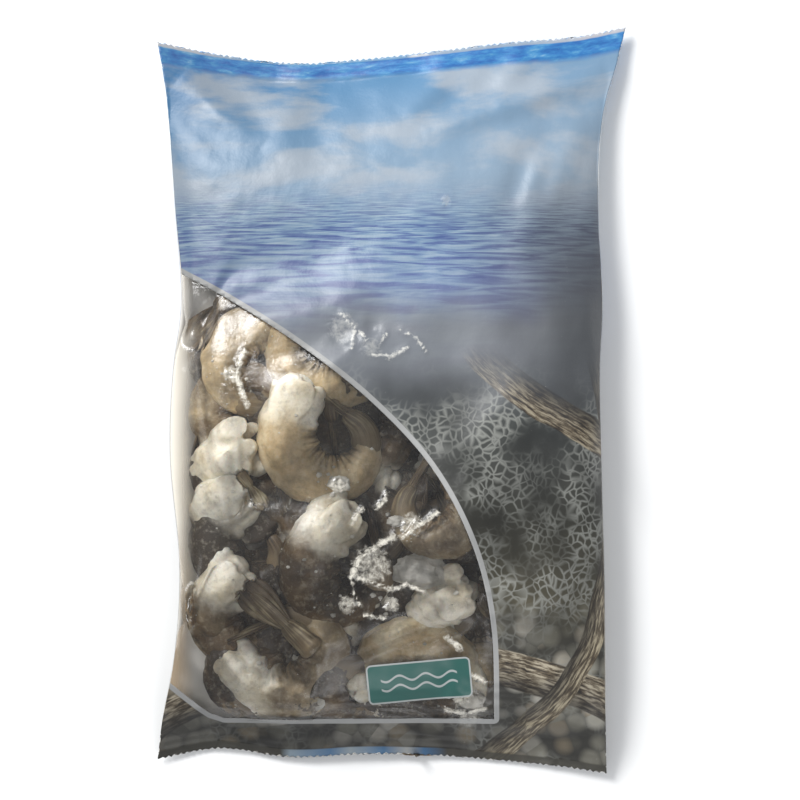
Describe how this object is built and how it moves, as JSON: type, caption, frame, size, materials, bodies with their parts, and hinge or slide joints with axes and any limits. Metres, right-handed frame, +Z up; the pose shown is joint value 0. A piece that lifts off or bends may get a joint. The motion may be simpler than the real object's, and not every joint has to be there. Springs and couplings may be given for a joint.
{
  "type": "pillow pack of frozen raw whiteleg shrimp",
  "caption": "Filled pillow pack of frozen raw shrimp lying face up: printed film with a clear window, crimped ends and a fin seal down its back.",
  "frame": {"origin": "centre of the pack's box, on the surface that it lies on", "axes": "+X across the pack to the right of its front, +Y along it towards the top seal, +Z up out of the printed front"},
  "size_m": [0.219, 0.35, 0.0464],
  "materials": {
    "printed_film": "printed polyethylene film, semi-gloss, with a sea-blue, grey and brown print",
    "clear_film": "clear polyethylene film with a faint haze and small crinkles",
    "shrimp_flesh": "frozen raw shrimp flesh, grey-brown with frosted white ends",
    "ice": "frosted flakes of glaze ice"
  },
  "bodies": {
    "root": {"shrimp_pack": "printed_film"}
  },
  "joints": []
}
